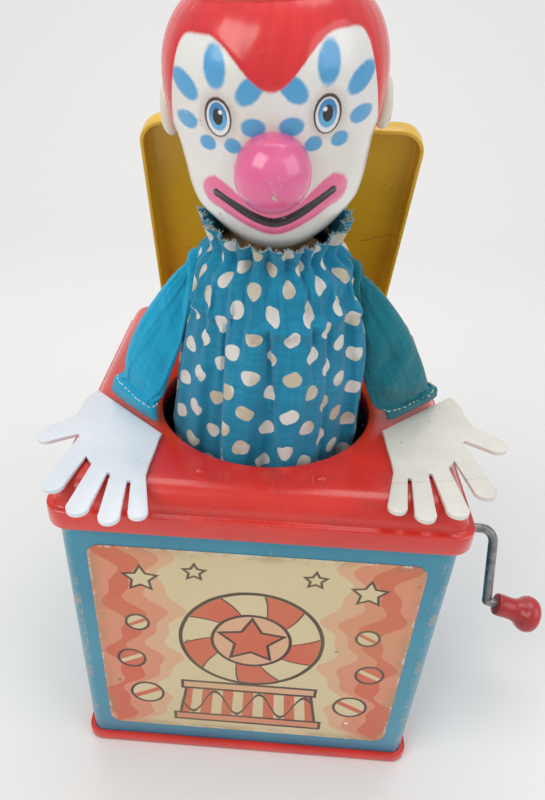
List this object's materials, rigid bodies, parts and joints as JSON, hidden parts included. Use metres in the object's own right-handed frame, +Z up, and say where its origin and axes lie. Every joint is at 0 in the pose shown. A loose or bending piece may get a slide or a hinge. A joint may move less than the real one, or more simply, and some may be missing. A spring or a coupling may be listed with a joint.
{
  "type": "jack in the box",
  "caption": "Square toy box with a hinged lid standing open, a side crank with a knob, and a clown puppet risen through the round opening on a coil spring inside a cloth body",
  "frame": {"origin": "middle of the underside of the box's tray, where it stands on the table", "axes": "+X to the right along the front panel, toward the crank; +Y from the front panel to the rear wall; +Z up"},
  "size_m": [0.2068, 0.1593, 0.2945],
  "materials": {
    "base_tray": "glossy moulded plastic",
    "tin_wrap": "printed and varnished tinplate",
    "front_label": "printed picture panel",
    "top_cap": "glossy moulded plastic",
    "lid_pin": "drawn wire",
    "movement_frame": "zinc-plated steel",
    "movement_screws": "zinc plated",
    "crank_bush": "moulded",
    "comb": "ground spring steel",
    "comb_screws": "slotted",
    "latch_pivot": "turned",
    "latch_spring": "coiled wire",
    "spring_seat": "turned, unpainted",
    "pop_spring": "coiled wire",
    "costume": "printed cotton with dots",
    "lid": "glossy moulded plastic",
    "crank": "bent steel wire",
    "crank_pinion": "cut",
    "crank_knob": "glossy moulded plastic",
    "drum_axle": "turned",
    "music_drum": "turned and pinned",
    "drum_gear": "cut",
    "release_cam": "stamped",
    "latch_lever": "stamped",
    "neck_plug": "turned, unpainted",
    "head": "painted soft plastic",
    "hat": "painted soft plastic",
    "left_sleeve": "plain cotton",
    "right_sleeve": "plain cotton",
    "left_cuff": "hemmed cotton",
    "left_hand": "cut plastic sheet",
    "right_cuff": "hemmed cotton",
    "right_hand": "cut plastic sheet"
  },
  "bodies": {
    "box": {"base_tray": "base_tray", "tin_wrap": "tin_wrap", "front_label": "front_label", "top_cap": "top_cap", "lid_pin": "lid_pin", "movement_frame": "movement_frame", "movement_screws": "movement_screws", "crank_bush": "crank_bush", "comb": "comb", "comb_screws": "comb_screws", "latch_pivot": "latch_pivot", "latch_spring": "latch_spring", "spring_seat": "spring_seat", "pop_spring": "pop_spring", "costume": "costume"},
    "lid": {"lid": "lid"},
    "crank": {"crank": "crank", "crank_pinion": "crank_pinion"},
    "knob": {"crank_knob": "crank_knob"},
    "drum": {"drum_axle": "drum_axle", "music_drum": "music_drum", "drum_gear": "drum_gear", "release_cam": "release_cam"},
    "latch": {"latch_lever": "latch_lever"},
    "clown": {"neck_plug": "neck_plug", "head": "head", "hat": "hat", "left_sleeve": "left_sleeve", "right_sleeve": "right_sleeve"},
    "left_hand": {"left_cuff": "left_cuff", "left_hand": "left_hand"},
    "right_hand": {"right_cuff": "right_cuff", "right_hand": "right_hand"}
  },
  "joints": [
    {"name": "lid_hinge", "type": "hinge", "parent": "box", "child": "lid", "pos_m": [0, 0.0465, 0.143], "axis": [-1, 0, 0], "range_deg": [0, 40]},
    {"name": "crank_spin", "type": "hinge", "parent": "box", "child": "crank", "pos_m": [0.08, -0.01, 0.082], "axis": [1, 0, 0], "continuous": true},
    {"name": "knob_spin", "type": "hinge", "parent": "crank", "child": "knob", "pos_m": [0.10275, -0.02447, 0.05234], "axis": [0.9659, -0.1135, -0.2326], "continuous": true},
    {"name": "drum_spin", "type": "hinge", "parent": "box", "child": "drum", "pos_m": [0.055, 0.01081, 0.06999], "axis": [1, 0, 0], "continuous": true},
    {"name": "latch_swing", "type": "hinge", "parent": "box", "child": "latch", "pos_m": [0.0465, 0.02601, 0.09198], "axis": [1, 0, 0], "range_deg": [0, 4], "stiffness_Nm_per_rad": 0.05, "springref_deg": -2.86},
    {"name": "clown_pop", "type": "slide", "parent": "box", "child": "clown", "axis": [0, -0.1132, 0.9936], "range_m": [-0.165, 0], "stiffness_N_per_m": 60, "springref_m": 0.02, "deforming": ["pop_spring", "costume", "left_sleeve", "right_sleeve"]},
    {"name": "left_arm_slack", "type": "slide", "parent": "clown", "child": "left_hand", "axis": [0, -0.1132, 0.9936], "range_m": [0, 0.165]},
    {"name": "right_arm_slack", "type": "slide", "parent": "clown", "child": "right_hand", "axis": [0, -0.1132, 0.9936], "range_m": [0, 0.165]}
  ],
  "couplings": [
    {"joint": "crank_spin", "follows": "drum_spin", "ratio": -4},
    {"joint": "left_arm_slack", "follows": "clown_pop", "ratio": -1},
    {"joint": "right_arm_slack", "follows": "clown_pop", "ratio": -1}
  ]
}
